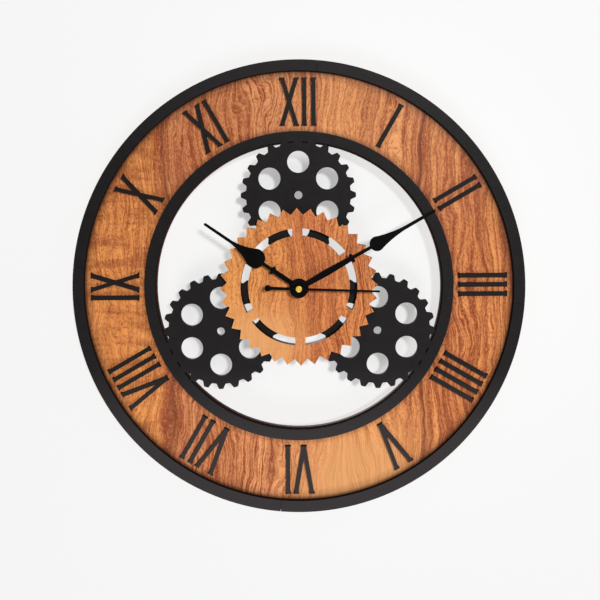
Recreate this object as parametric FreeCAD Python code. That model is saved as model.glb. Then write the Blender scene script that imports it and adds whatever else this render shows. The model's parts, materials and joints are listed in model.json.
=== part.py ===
import FreeCAD, Part
import math
import os

# Round wall clock with an open, geared middle.
# X points right and Z up as the viewer faces the dial, and the viewer stands on the -Y side.
# The origin is on the axis of the hands, in the plane of the wall that the clock hangs on.
# A depth is a distance from the wall towards the viewer, so a depth of d lies at y = -d.
# Angles of places run anticlockwise from +X, clock angles run clockwise from twelve.

# Dial sheets
clock_radius = 225.0
rim_width = 11.0
numeral_band = 60.3
ring_width = 10.4
rim_seam_gap = 0.3
rim_seam_angle = 85.0
rim_arc_names = ("rim_arc_right", "rim_arc_top", "rim_arc_left", "rim_arc_bottom")
sheet_thickness = 3.0
board_thickness = 3.0
board_lip = 1.2
case_to_sheet_gap = 0.5

# Three black gears cut in one sheet with the inner ring
ring_gear_count = 3
ring_gear_teeth = 24
ring_gear_reach = 32.7
ring_gear_bite = 4.0
ring_gear_tooth_height = 5.1
ring_gear_tip_width = 4.4
ring_gear_gap_width = 4.6
ring_gear_hole_count = 6
ring_gear_rim_land = 8.0
ring_gear_web = 11.2
ring_gear_eye_radius = 4.0

# Veneered gear in the middle
centre_gear_teeth = 36
centre_gear_tip_radius = 77.4
centre_gear_tooth_height = 6.6
centre_gear_thickness = 6.0
centre_gear_slots = 6
centre_gear_rim_land = 13.4
centre_gear_slot_width = 7.4
centre_gear_bridge_width = 10.0
centre_gear_turn = 1.3

# Roman numerals, one row of letters across the hour angle
numeral_inner_margin = 5.8
numeral_outer_margin = 7.0
numeral_thickness = 3.0
stroke_width = 4.0
serif_width = 5.8
serif_length = 1.9
cross_half_spread = 7.2
vee_half_spread = 7.9
same_letter_gap = 3.4
other_letter_gap = 2.1
hour_numerals = ("I", "II", "III", "IIII", "V", "VI", "VII", "VIII", "IX", "X", "XI", "XII")

# Movement case, which takes its size from what it holds, and its rear cover
case_corner_radius = 3.0
case_wall = 1.2
case_front_wall = 1.0
case_boss_radius = 11.0
bay_wall = 1.0
cover_thickness = 1.5
cover_hook_length = 5.0
cover_hook_width = 4.0
cover_hook_thickness = 1.0
cover_fit = 0.1
hanger_radius = 7.0
hanger_hole_radius = 3.5
hanger_thickness = 2.5
hanger_rise = 5.0

# Cell and its contacts
cell_radius = 7.1
cell_body_length = 49.3
cell_nub_radius = 2.75
cell_nub_length = 1.2
cell_clearance = 0.3
cell_rear_inset = 0.5
contact_thickness = 0.4
contact_width = 9.0
contact_clearance = 0.1
contact_leg_width = 1.0
contact_leg_clearance = 0.6
contact_spring_bow = 1.9
contact_spring_flat = 3.0

# Fixing of the movement through the gear
bushing_radius = 4.0
bushing_fit = 0.05
bushing_reach = 0.6
gear_eye_clearance = 0.4
rubber_thickness = 1.0
washer_radius = 7.5
washer_sides = 32
washer_thickness = 0.5
nut_across_flats = 11.0
nut_thickness = 2.2
nut_sides = 6

# Nested shafts, from the inside out
shaft_clearance = 0.05
second_shaft_radius = 0.5
minute_pipe_radius = 1.6
hour_pipe_radius = 2.5
pipe_step = 2.7
pivot_radius = 0.35
pivot_depth = 0.8
arbor_radius = 0.5
knob_arbor_radius = 0.8

# Sides of the round forms that repeat or lie hidden, which are drawn as prisms
small_round_sides = 8
middle_round_sides = 16
hole_round_sides = 18
slot_round_sides = 60

# Wheels of the movement, in layers from the front wall to the rear
wheel_thickness = 1.0
layer_gap = 0.5
plate_thickness = 0.8
layer_names = ("hour", "motion", "plate", "centre", "third", "second", "step")
hour_teeth = 32
motion_pinion_teeth = 8
motion_teeth = 30
minute_pinion_teeth = 10
centre_teeth = 48
pinion_teeth = 6
third_teeth = 45
second_teeth = 30
step_teeth = 36
motion_distance = 11.5
train_distance = 9.6
rotor_distance = 9.8
motion_angle = 20.0
third_angle = 140.0
step_angle = 80.0
rotor_angle = 24.0
addendum_share = 0.9
dedendum_share = 1.3

# Setting knob at the rear
knob_radius = 5.0
knob_rib_count = 16
knob_rib_height = 0.4
knob_thickness = 2.2
knob_recess = 0.4
knob_clearance = 0.3

# Train plate and the posts that carry it
plate_to_circuit_post = 3.9
plate_to_case = 3.3
plate_to_bay = 0.8
plate_bottom = 10.2
plate_top = 15.8
plate_corner_cut = 1.5
post_radius = 1.5
post_inset = 1.8

# Stepping motor
magnet_radius = 2.0
magnet_thickness = 3.0
stator_hole_radius = 2.6
stator_eye_radius = 4.6
stator_half_width = 18.5
stator_strip = 2.4
stator_leg = 3.0
stator_bottom = 15.3
coil_height = 22.2
coil_to_case = 0.4
coil_half_length = 13.0
coil_radius = 3.8
bobbin_wall = 0.6
bobbin_flange_radius = 4.2
bobbin_flange_thickness = 0.8
core_height = 2.0
core_fit = 0.05
winding_fit = 0.05

# Circuit board
circuit_width = 7.6
circuit_bottom = 10.0
circuit_top = 16.0
circuit_thickness = 1.0
circuit_front_depth = 5.0
circuit_post_inset = 3.6
crystal_radius = 1.0
crystal_length = 6.0
crystal_height = 3.0
chip_radius = 2.4
chip_thickness = 0.9
chip_height = 9.0
part_seat = 0.05

# Hands, drawn pointing at twelve and then turned to ten past ten
hand_thickness = 0.6
hand_hub_radius = 9.2
hour_hand_clock_angle = 304.5
minute_hand_clock_angle = 60.5
second_hand_clock_angle = 92.0
collar_chamfer = 0.9
collet_wall = 1.0
collet_length = 1.1
pipe_end_proud = 0.3
hand_fit = 0.03
tail_radius = 3.0
tail_distance = 30.0
tail_half_width = 1.6
boss_radius = 3.0
boss_height = 0.7
boss_neck_radius = 1.5
boss_neck_length = 1.2
boss_chamfer = 0.3

hour_hand = {
    "bar_start": 2.3, "bar_middle": 2.4, "bar_end": 2.3, "bar_middle_at": 19.0,
    "collar_at": 30.5, "collar_length": 4.2, "collar_half_width": 3.8, "neck": 1.65,
    "bulb_at": 50.9, "bulb_radius": 9.5, "shoulder": 8.1,
    "waist_at": 66.5, "waist": 3.8, "needle_at": 79.0, "needle": 1.5, "needle_end": 1.35,
    "length": 111.0,
}
minute_hand = {
    "bar_start": 2.2, "bar_middle": 3.2, "bar_end": 2.45, "bar_middle_at": 31.0,
    "collar_at": 59.0, "collar_length": 4.0, "collar_half_width": 4.4, "neck": 1.6,
    "bulb_at": 86.7, "bulb_radius": 7.2, "shoulder": 6.2,
    "waist_at": 103.0, "waist": 3.3, "needle_at": 118.0, "needle": 1.7, "needle_end": 1.5,
    "length": 151.5,
}
second_hand_half_width = 1.1
second_hand_tip_half_width = 0.95
second_hand_length = 77.5
second_hand_eye_radius = 4.0

# Depths of the faces, from the wall forward
cell_depth = cell_rear_inset + cell_radius
front_inner = cell_depth + cell_radius + cell_clearance
case_depth = front_inner + case_front_wall
board_front = case_depth + case_to_sheet_gap
board_back = board_front - board_thickness
sheet_front = board_front + sheet_thickness
gear_front = sheet_front + centre_gear_thickness
boss_front = sheet_front - rubber_thickness
washer_front = gear_front + washer_thickness
nut_front = washer_front + nut_thickness
bushing_front = nut_front + bushing_reach
hour_pipe_front = bushing_front + pipe_step
minute_pipe_front = hour_pipe_front + pipe_step
second_shaft_front = minute_pipe_front + pipe_step

# Radii and distances that follow from the values above
rim_inner_radius = clock_radius - rim_width
ring_outer_radius = rim_inner_radius - numeral_band
ring_inner_radius = ring_outer_radius - ring_width
board_inner_radius = ring_inner_radius - board_lip
ring_gear_tip_radius = (ring_inner_radius + ring_gear_bite - ring_gear_reach) / 2
ring_gear_root_radius = ring_gear_tip_radius - ring_gear_tooth_height
ring_gear_distance = ring_gear_reach + ring_gear_tip_radius
centre_gear_root_radius = centre_gear_tip_radius - centre_gear_tooth_height

# Room in the case: the cell sets its width and depth, the coil its top, the plate and the cell its floor
cell_length = cell_body_length + cell_nub_length
contact_space = contact_thickness + 2 * contact_clearance
inner_side = contact_space + (cell_length + contact_spring_bow) / 2
inner_top = coil_height + bobbin_flange_radius + coil_to_case
bay_wall_top = -plate_bottom - plate_to_bay
bay_top = bay_wall_top - bay_wall
cell_z = bay_top - cell_clearance - cell_radius
inner_bottom = cell_z - cell_radius - cell_clearance
case_side = inner_side + case_wall
case_top = inner_top + case_wall
case_bottom = inner_bottom - case_wall
cell_start = -inner_side + contact_space
circuit_middle = cell_start + circuit_width / 2
circuit_back = circuit_front_depth - circuit_thickness
plate_left = circuit_middle + post_radius + plate_to_circuit_post
plate_right = inner_side - plate_to_case


def vec(x, depth, z):
    return FreeCAD.Vector(x, -depth, z)


def around(radius, degrees, x=0.0, z=0.0):
    turn = math.radians(degrees)
    return x + radius * math.cos(turn), z + radius * math.sin(turn)


def rod(radius, back, front, x=0.0, z=0.0):
    """A round bar along the depth axis."""
    return Part.makeCylinder(radius, front - back, vec(x, front, z), FreeCAD.Vector(0, 1, 0))


def tube(outer, inner, back, front, x=0.0, z=0.0):
    return rod(outer, back, front, x, z).cut(rod(inner, back, front, x, z))


def block(left, right, bottom, top, back, front):
    corner = vec(left, front, bottom)
    return Part.makeBox(right - left, front - back, top - bottom, corner)


def regular_points(radius, sides, x=0.0, z=0.0):
    return [around(radius, 360.0 * index / sides, x, z) for index in range(sides)]


def outline(points):
    """Closed wire through (x, z) points in the plane of the wall."""
    places = [vec(x, 0.0, z) for x, z in points]
    return Part.makePolygon(places + places[:1])


def thicken(wire, back, front):
    """Solid between two depths over a closed wire drawn in the plane of the wall."""
    face = Part.Face(wire)
    face.translate(vec(0.0, back, 0.0))
    return face.extrude(vec(0.0, front - back, 0.0))


def polygon(points, back, front):
    return thicken(outline(points), back, front)


def prism(radius, sides, back, front, x=0.0, z=0.0):
    """Stands in for a small round bar along the depth axis, with flat sides."""
    return polygon(regular_points(radius, sides, x, z), back, front)


def flats_prism(radius, sides, back, front, x=0.0, z=0.0):
    """Prism with its flats at the radius, so that as a hole it lets a round bar turn in it."""
    return prism(radius / math.cos(math.pi / sides), sides, back, front, x, z)


def deep_edges(solid):
    """Edges that run along the depth."""
    return [edge for edge in solid.Edges if abs(edge.tangentAt(edge.FirstParameter).y) > 0.5]


def rounded_block(left, right, bottom, top, radius, back, front):
    """Plate with four rounded corners."""
    solid = block(left, right, bottom, top, back, front)
    return solid.makeFillet(radius, deep_edges(solid))


def chamfered_block(left, right, bottom, top, cut, back, front):
    """Plate with four corners cut off."""
    solid = block(left, right, bottom, top, back, front)
    return solid.makeChamfer(cut, deep_edges(solid))


def spin(shape, clock_degrees, x=0.0, z=0.0):
    """Turn a shape clockwise, as the viewer sees it, about an axis along the depth."""
    turned = shape.copy()
    turned.rotate(vec(x, 0.0, z), FreeCAD.Vector(0, 1, 0), clock_degrees)
    return turned


def save(name, shape):
    shape.exportStep("parts/" + name + ".step")


def layer_depths():
    """Back and front of each layer of the movement, stepping back from the front wall."""
    depths = {}
    front = front_inner - layer_gap
    for name in layer_names:
        thickness = plate_thickness if name == "plate" else wheel_thickness
        depths[name] = (front - thickness, front)
        front -= thickness + layer_gap
    return depths


layers = layer_depths()
motion_x, motion_z = around(motion_distance, motion_angle)
third_x, third_z = around(train_distance, third_angle)
step_x, step_z = around(train_distance, step_angle)
rotor_x, rotor_z = around(rotor_distance, rotor_angle, step_x, step_z)


def make_rim_arc(index):
    """A quarter of the outer rim, with half of the seam gap left at both ends."""
    seam = math.degrees(rim_seam_gap / clock_radius)
    start = rim_seam_angle + 90.0 * (index - 1) + seam / 2
    sweep = 90.0 - seam
    ring = Part.makeCylinder(clock_radius, sheet_thickness, vec(0.0, board_front, 0.0),
                             FreeCAD.Vector(0, -1, 0), sweep)
    bore = rod(rim_inner_radius, board_front, sheet_front)
    arc = ring.cut(bore)
    first = min((vertex.Point for vertex in arc.Vertexes), key=lambda p: math.atan2(p.z, p.x))
    now = math.degrees(math.atan2(first.z, first.x))
    return spin(arc, now - start)


def make_dial_board():
    """Veneered ring behind the rims; its bore stands in a little from the black ring's."""
    return tube(clock_radius, board_inner_radius, board_back, board_front)


def ring_gear_tooth_points(index):
    """Root and tip corners of one tooth about the direction of its tip."""
    pitch = 360.0 / ring_gear_teeth
    tip_half = math.degrees(ring_gear_tip_width / 2 / ring_gear_tip_radius)
    root_half = pitch / 2 - math.degrees(ring_gear_gap_width / 2 / ring_gear_root_radius)
    corners = (
        (ring_gear_root_radius, -root_half), (ring_gear_tip_radius, -tip_half),
        (ring_gear_tip_radius, tip_half), (ring_gear_root_radius, root_half),
    )
    return [around(radius, pitch * index + angle) for radius, angle in corners]


def ring_gear_holes():
    """Radius of the round holes and of the circle that they stand on.

    They fill the disc up to a land inside the teeth, with an even web from one to the next.
    """
    reach = ring_gear_root_radius - ring_gear_rim_land
    chord_share = math.sin(math.pi / ring_gear_hole_count)
    radius = (reach * chord_share - ring_gear_web / 2) / (1 + chord_share)
    return radius, reach - radius


def make_ring_gear(direction):
    """One black gear, its teeth on whole pitches from +X, placed out along a direction."""
    points = []
    for index in range(ring_gear_teeth):
        points += ring_gear_tooth_points(index)
    gear = polygon(points, board_front, sheet_front)
    gear = gear.cut(prism(ring_gear_eye_radius, middle_round_sides, board_front, sheet_front))
    hole_radius, hole_circle = ring_gear_holes()
    for index in range(ring_gear_hole_count):
        x, z = around(hole_circle, 90.0 + 360.0 * index / ring_gear_hole_count)
        gear = gear.cut(prism(hole_radius, hole_round_sides, board_front, sheet_front, x, z))
    x, z = around(ring_gear_distance, direction)
    gear.translate(vec(x, 0.0, z))
    return gear


def make_gear_fretwork():
    """Inner ring with the three gears that grow out of it, one flat sheet."""
    sheet = tube(ring_outer_radius, ring_inner_radius, board_front, sheet_front)
    gears = [make_ring_gear(90.0 + 360.0 * index / ring_gear_count) for index in range(ring_gear_count)]
    return sheet.multiFuse(gears).removeSplitter()


def bushing_eye(back, front):
    """Cutter for the loose eye round the bushing in the gear and the washers."""
    return flats_prism(bushing_radius + gear_eye_clearance, middle_round_sides, back, front)


def make_slot(middle):
    """Arc slot of the middle gear, with square ends, about one direction."""
    outer = centre_gear_root_radius - centre_gear_rim_land
    slot = prism(outer, slot_round_sides, sheet_front, gear_front)
    slot = slot.cut(prism(outer - centre_gear_slot_width, slot_round_sides, sheet_front, gear_front))
    half_pitch = 180.0 / centre_gear_slots
    side = centre_gear_bridge_width / 2
    wedge = []
    for turn, shift in ((middle - half_pitch, side), (middle + half_pitch, -side)):
        beside_x, beside_z = around(shift, turn + 90.0)
        wedge.append(around(centre_gear_tip_radius, turn, beside_x, beside_z))
    apex_distance = side / math.sin(math.radians(half_pitch))
    wedge.append(around(apex_distance, middle))
    return slot.common(polygon(wedge, sheet_front, gear_front))


def make_centre_gear():
    """Thick veneered gear with pointed teeth and a ring of arc slots."""
    pitch = 360.0 / centre_gear_teeth
    points = []
    for index in range(centre_gear_teeth):
        middle = pitch * index
        points.append(around(centre_gear_tip_radius, middle))
        points.append(around(centre_gear_root_radius, middle + pitch / 2))
    gear = polygon(points, sheet_front, gear_front)
    gear = gear.cut(bushing_eye(sheet_front, gear_front))
    for index in range(centre_gear_slots):
        gear = gear.cut(make_slot(360.0 * index / centre_gear_slots))
    return spin(gear, -centre_gear_turn)


def stroke(foot, head, height):
    """Flared stroke of a letter whose middle runs from foot to head across the height."""
    half, flare = stroke_width / 2, serif_width / 2
    levels = (
        (0.0, flare), (serif_length, half), (height - serif_length, half), (height, flare),
    )
    lean = (head - foot) / height
    right = [(foot + lean * level + side, level) for level, side in levels]
    left = [(foot + lean * level - side, level) for level, side in reversed(levels)]
    return polygon(right + left, board_front, board_front + numeral_thickness)


def letter_half_width(letter):
    spread = {"I": 0.0, "V": vee_half_spread, "X": cross_half_spread}[letter]
    return spread + serif_width / 2


def make_letter(letter, height):
    """A letter standing on z = 0, centred on x = 0."""
    if letter == "I":
        return stroke(0.0, 0.0, height)
    if letter == "V":
        arms = stroke(0.0, -vee_half_spread, height), stroke(0.0, vee_half_spread, height)
    else:
        arms = (stroke(-cross_half_spread, cross_half_spread, height),
                stroke(cross_half_spread, -cross_half_spread, height))
    return arms[0].fuse(arms[1]).removeSplitter()


def make_numeral(letters, hour):
    """The letters of one hour as separate pieces, their tops turned outwards."""
    foot = ring_outer_radius + numeral_inner_margin
    height = numeral_band - numeral_inner_margin - numeral_outer_margin
    places = [0.0]
    for before, after in zip(letters, letters[1:]):
        gap = same_letter_gap if before == after else other_letter_gap
        places.append(places[-1] + letter_half_width(before) + gap + letter_half_width(after))
    left = -letter_half_width(letters[0])
    right = places[-1] + letter_half_width(letters[-1])
    pieces = []
    for letter, place in zip(letters, places):
        piece = make_letter(letter, height)
        piece.translate(vec(place - (left + right) / 2, 0.0, foot))
        pieces.append(spin(piece, 360.0 / len(hour_numerals) * hour))
    return Part.makeCompound(pieces)


def gear_points(teeth, pitch_radius, first_tooth, x, z):
    """Outline of a fine wheel with pointed teeth, one of them at first_tooth."""
    module = 2 * pitch_radius / teeth
    pitch = 360.0 / teeth
    points = []
    for index in range(teeth):
        tip = first_tooth + pitch * index
        points.append(around(pitch_radius + addendum_share * module, tip, x, z))
        points.append(around(pitch_radius - dedendum_share * module, tip + pitch / 2, x, z))
    return points


def toothed(teeth, pitch_radius, first_tooth, layer, x=0.0, z=0.0):
    back, front = layers[layer]
    return polygon(gear_points(teeth, pitch_radius, first_tooth, x, z), back, front)


def pitch_radii(distance, driver_teeth, driven_teeth):
    """Pitch radii of two wheels in mesh, from the distance between their axes."""
    total = driver_teeth + driven_teeth
    return distance * driver_teeth / total, distance * driven_teeth / total


def meshing_tooth(direction, teeth, first_tooth, other_teeth):
    """First tooth of the other wheel, so that its gap meets a tooth on the line of centres."""
    phase = ((direction - first_tooth) * teeth / 360.0) % 1.0
    return direction + 180.0 - (0.5 - phase) * 360.0 / other_teeth


def arbor(front, x, z):
    """Slim shaft from the rear cover to a front depth, with a finer pivot at both ends."""
    shaft_back, shaft_front = cover_thickness + layer_gap / 2, front - layer_gap / 2
    shaft = prism(arbor_radius, small_round_sides, shaft_back, shaft_front, x, z)
    rear_pivot = rod(pivot_radius, cover_thickness - pivot_depth, shaft_back, x, z)
    front_pivot = prism(pivot_radius, small_round_sides, shaft_front, front + pivot_depth / 2, x, z)
    return shaft.multiFuse([rear_pivot, front_pivot])


def pivot_hole(back, front, x, z):
    return flats_prism(pivot_radius + shaft_clearance, small_round_sides, back, front, x, z)


def pipe_hole(radius, back, front, x=0.0, z=0.0):
    return flats_prism(radius + shaft_clearance, middle_round_sides, back, front, x, z)


def make_second_wheel():
    """Central shaft that carries the second hand, its wheel and its pinion."""
    wheel_radius, _ = pitch_radii(train_distance, second_teeth, pinion_teeth)
    pinion_radius, _ = pitch_radii(train_distance, pinion_teeth, third_teeth)
    shaft = rod(second_shaft_radius, layers["centre"][0], second_shaft_front)
    hub = prism(second_shaft_radius, small_round_sides, cover_thickness + layer_gap / 2,
                layers["centre"][0])
    pivot = prism(pivot_radius, small_round_sides, cover_thickness - pivot_depth,
                  cover_thickness + layer_gap)
    wheel = toothed(second_teeth, wheel_radius, 0.0, "second")
    pinion = toothed(pinion_teeth, pinion_radius, 0.0, "third")
    return shaft.multiFuse([hub, pivot, wheel, pinion]).removeSplitter()


def make_third_wheel():
    _, wheel_radius = pitch_radii(train_distance, pinion_teeth, third_teeth)
    pinion_radius, _ = pitch_radii(train_distance, pinion_teeth, centre_teeth)
    tooth = meshing_tooth(third_angle, pinion_teeth, 0.0, third_teeth)
    wheel = toothed(third_teeth, wheel_radius, tooth, "third", third_x, third_z)
    pinion = toothed(pinion_teeth, pinion_radius, third_angle + 180.0, "centre", third_x, third_z)
    shaft = arbor(layers["plate"][0], third_x, third_z)
    return shaft.multiFuse([wheel, pinion]).removeSplitter()


def make_centre_wheel():
    """Wheel driven once an hour, which grips the minute pipe by friction alone."""
    _, wheel_radius = pitch_radii(train_distance, pinion_teeth, centre_teeth)
    tooth = meshing_tooth(third_angle + 180.0, pinion_teeth, third_angle + 180.0, centre_teeth)
    wheel = toothed(centre_teeth, wheel_radius, tooth, "centre")
    return wheel.cut(pipe_hole(minute_pipe_radius, *layers["centre"]))


def make_step_wheel():
    _, wheel_radius = pitch_radii(rotor_distance, pinion_teeth, step_teeth)
    _, pinion_radius = pitch_radii(train_distance, second_teeth, pinion_teeth)
    tooth = meshing_tooth(step_angle, second_teeth, 0.0, pinion_teeth)
    pinion = toothed(pinion_teeth, pinion_radius, tooth, "second", step_x, step_z)
    wheel = toothed(step_teeth, wheel_radius, 0.0, "step", step_x, step_z)
    shaft = arbor(layers["plate"][0], step_x, step_z)
    return shaft.multiFuse([wheel, pinion]).removeSplitter()


def make_rotor():
    """Round magnet on its own arbor, with the smallest pinion behind it."""
    pinion_radius, _ = pitch_radii(rotor_distance, pinion_teeth, step_teeth)
    tooth = meshing_tooth(rotor_angle, step_teeth, 0.0, pinion_teeth)
    pinion = toothed(pinion_teeth, pinion_radius, tooth, "step", rotor_x, rotor_z)
    middle = sum(layers["third"]) / 2
    half = magnet_thickness / 2
    magnet = prism(magnet_radius, middle_round_sides, middle - half, middle + half, rotor_x, rotor_z)
    shaft = arbor(layers["plate"][0], rotor_x, rotor_z)
    return shaft.multiFuse([pinion, magnet]).removeSplitter()


def make_minute_arbor():
    """Pipe of the minute hand with the pinion that drives the motion wheel."""
    _, pinion_radius = pitch_radii(motion_distance, motion_teeth, minute_pinion_teeth)
    pinion = toothed(minute_pinion_teeth, pinion_radius, motion_angle, "motion")
    pipe = rod(minute_pipe_radius, layers["centre"][0], minute_pipe_front)
    bore = pipe_hole(second_shaft_radius, layers["centre"][0], minute_pipe_front)
    return pipe.fuse(pinion).cut(bore).removeSplitter()


def make_motion_wheel():
    """Wheel and pinion between the minute and hour pipes, on the arbor of the knob."""
    wheel_radius, _ = pitch_radii(motion_distance, motion_teeth, minute_pinion_teeth)
    pinion_radius, _ = pitch_radii(motion_distance, motion_pinion_teeth, hour_teeth)
    tooth = meshing_tooth(motion_angle, minute_pinion_teeth, motion_angle, motion_teeth)
    wheel = toothed(motion_teeth, wheel_radius, tooth, "motion", motion_x, motion_z)
    pinion = toothed(motion_pinion_teeth, pinion_radius, motion_angle + 180.0, "hour",
                     motion_x, motion_z)
    core = prism(knob_arbor_radius, small_round_sides, knob_recess + knob_thickness,
                 layers["hour"][1], motion_x, motion_z)
    front_pivot = rod(pivot_radius, layers["hour"][1], front_inner + pivot_depth / 2, motion_x, motion_z)
    return core.multiFuse([wheel, pinion, front_pivot]).removeSplitter()


def make_hour_wheel():
    """Wheel and pipe of the hour hand."""
    _, wheel_radius = pitch_radii(motion_distance, motion_pinion_teeth, hour_teeth)
    tooth = meshing_tooth(motion_angle + 180.0, motion_pinion_teeth, motion_angle + 180.0, hour_teeth)
    wheel = toothed(hour_teeth, wheel_radius, tooth, "hour")
    pipe = rod(hour_pipe_radius, layers["hour"][0], hour_pipe_front)
    bore = pipe_hole(minute_pipe_radius, layers["hour"][0], hour_pipe_front)
    return wheel.fuse(pipe).cut(bore).removeSplitter()


def make_setting_knob():
    """Ribbed thumb knob in its hole in the rear cover, pressed on the motion arbor."""
    points = []
    pitch = 360.0 / knob_rib_count
    for index in range(knob_rib_count):
        points.append(around(knob_radius, pitch * (index - 0.25), motion_x, motion_z))
        points.append(around(knob_radius, pitch * (index + 0.25), motion_x, motion_z))
        points.append(around(knob_radius - knob_rib_height, pitch * (index + 0.5), motion_x, motion_z))
    return polygon(points, knob_recess, knob_recess + knob_thickness)


def plate_posts():
    """Centres of the four posts under the corners of the train plate."""
    left, right = plate_left + post_inset, plate_right - post_inset
    bottom, top = -plate_bottom + post_inset, plate_top - post_inset
    return [(left, bottom), (right, bottom), (left, top), (right, top)]


def stator_posts():
    x = stator_half_width - stator_leg / 2
    z = stator_bottom + stator_strip + post_radius / 2
    return [(-x, z), (x, z)]


def circuit_posts():
    return [(circuit_middle, -circuit_bottom + circuit_post_inset),
            (circuit_middle, circuit_top - circuit_post_inset)]


def contact_notch(left, right):
    """Gap in the wall of the cell bay for the leg of a contact."""
    leg = contact_leg_clearance + contact_leg_width / 2
    middle = (circuit_back + circuit_front_depth) / 2
    return block(left, right, bay_top, bay_wall_top, middle - leg, middle + leg)


def post(back, x, z):
    return prism(post_radius, small_round_sides, back, front_inner, x, z)


def make_hanger():
    """Eye at the top of the case for the nail in the wall, and the cutter of its hole."""
    middle = case_top + hanger_rise
    back, front = cover_thickness, cover_thickness + hanger_thickness
    leg = block(-hanger_radius, hanger_radius, inner_top, middle, back, front)
    eye = leg.fuse(rod(hanger_radius, back, front, 0.0, middle))
    return eye, rod(hanger_hole_radius, back, front, 0.0, middle)


def make_movement_case():
    """Open box behind the gear: cell bay below, wheels above, boss and eye outside."""
    body = rounded_block(-case_side, case_side, case_bottom, case_top, case_corner_radius, 0.0, case_depth)
    hollow = chamfered_block(-inner_side, inner_side, inner_bottom, inner_top,
                             case_corner_radius - case_wall, 0.0, front_inner)
    case = body.cut(hollow)
    wall = block(-inner_side, inner_side, bay_top, bay_wall_top, 0.0, front_inner)
    wall = wall.cut(contact_notch(-inner_side, cell_start))
    wall = wall.cut(contact_notch(-cell_start, inner_side))
    rebate = block(-case_side, case_side, bay_top, case_top, 0.0, cover_thickness)
    case = case.fuse(wall).cut(rebate)
    posts = [post(layers["plate"][1], x, z) for x, z in plate_posts()]
    posts += [post(layers["third"][1], x, z) for x, z in stator_posts()]
    posts += [post(circuit_front_depth, x, z) for x, z in circuit_posts()]
    hanger, hanger_hole = make_hanger()
    boss = prism(case_boss_radius, middle_round_sides, case_depth, boss_front)
    case = case.multiFuse(posts + [hanger, boss]).cut(hanger_hole)
    case = case.cut(flats_prism(bushing_radius + bushing_fit, middle_round_sides, front_inner, boss_front))
    pivot_front = front_inner + pivot_depth / 2 + shaft_clearance
    return case.cut(pivot_hole(front_inner, pivot_front, motion_x, motion_z)).removeSplitter()


def make_rear_cover():
    """Flat cover over the wheels, with pivot holes, the knob's hole and two hooks."""
    cover = rounded_block(-case_side, case_side, case_bottom, case_top, case_corner_radius,
                          0.0, cover_thickness)
    cover = cover.cut(block(-case_side, case_side, case_bottom, bay_top + cover_fit, 0.0, cover_thickness))
    for x, z in ((0.0, 0.0), (third_x, third_z), (step_x, step_z), (rotor_x, rotor_z)):
        pivot_back = cover_thickness - pivot_depth - shaft_clearance
        cover = cover.cut(pivot_hole(pivot_back, cover_thickness, x, z))
    cover = cover.cut(flats_prism(knob_radius + knob_clearance, middle_round_sides, 0.0, cover_thickness,
                                  motion_x, motion_z))
    top = case_top - case_corner_radius
    edge = inner_side - cover_fit
    for left in (-edge, edge - cover_hook_thickness):
        hook = block(left, left + cover_hook_thickness, top - cover_hook_width, top,
                     0.0, cover_thickness + cover_hook_length)
        cover = cover.fuse(hook)
    return cover.removeSplitter()


def make_train_plate():
    """Inner plate with the front bearings of the wheels, seated on four posts."""
    back, front = layers["plate"]
    plate = chamfered_block(plate_left, plate_right, -plate_bottom, plate_top, plate_corner_cut,
                            back, front)
    plate = plate.cut(pipe_hole(minute_pipe_radius, back, front))
    plate = plate.cut(pipe_hole(knob_arbor_radius, back, front, motion_x, motion_z))
    for x, z in ((third_x, third_z), (step_x, step_z), (rotor_x, rotor_z)):
        plate = plate.cut(pivot_hole(back, front, x, z))
    return plate


def make_stator():
    """U of magnet steel with the eye of the rotor in its strip."""
    back, front = layers["third"]
    top = coil_height + core_height / 2
    outer = block(-stator_half_width, stator_half_width, stator_bottom, top, back, front)
    leg = stator_half_width - stator_leg
    inner = block(-leg, leg, stator_bottom + stator_strip, top, back, front)
    eye = prism(stator_eye_radius, middle_round_sides, back, front, rotor_x, rotor_z)
    hole = prism(stator_hole_radius, middle_round_sides, back, front, rotor_x, rotor_z)
    return outer.cut(inner).fuse(eye).cut(hole).removeSplitter()


def make_coil_core():
    """Flat bar through the bobbin that lies across the two legs of the stator."""
    half = core_height / 2
    back = layers["third"][1]
    return block(-stator_half_width, stator_half_width, coil_height - half, coil_height + half,
                 back, back + wheel_thickness)


def coil_bar(radius, left, right):
    """Round bar across the top of the case, with flat sides."""
    middle = layers["third"][1] + wheel_thickness / 2
    places = [vec(left, middle + y, coil_height + z)
              for y, z in regular_points(radius, middle_round_sides)]
    return Part.Face(Part.makePolygon(places + places[:1])).extrude(FreeCAD.Vector(right - left, 0, 0))


def coil_block(half_height, half_depth, left, right):
    middle = layers["third"][1] + wheel_thickness / 2
    return block(left, right, coil_height - half_height, coil_height + half_height,
                 middle - half_depth, middle + half_depth)


def make_coil_bobbin():
    """Flat spool with two square flanges and a bore for the bar."""
    end = coil_half_length + bobbin_flange_thickness
    core_half, core_half_depth = core_height / 2 + core_fit, wheel_thickness / 2 + core_fit
    spool = coil_block(core_half + bobbin_wall, core_half_depth + bobbin_wall, -end, end)
    flanges = [coil_block(bobbin_flange_radius, bobbin_flange_radius, -end, -coil_half_length),
               coil_block(bobbin_flange_radius, bobbin_flange_radius, coil_half_length, end)]
    bore = coil_block(core_half, core_half_depth, -end, end)
    return spool.multiFuse(flanges).cut(bore).removeSplitter()


def make_coil_winding():
    end = coil_half_length - winding_fit
    wall = core_fit + bobbin_wall + winding_fit
    bore = coil_block(core_height / 2 + wall, wheel_thickness / 2 + wall, -end, end)
    return coil_bar(coil_radius, -end, end).cut(bore)


def make_circuit_board():
    return block(cell_start, cell_start + circuit_width, -circuit_bottom, circuit_top,
                 circuit_back, circuit_front_depth)


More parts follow.
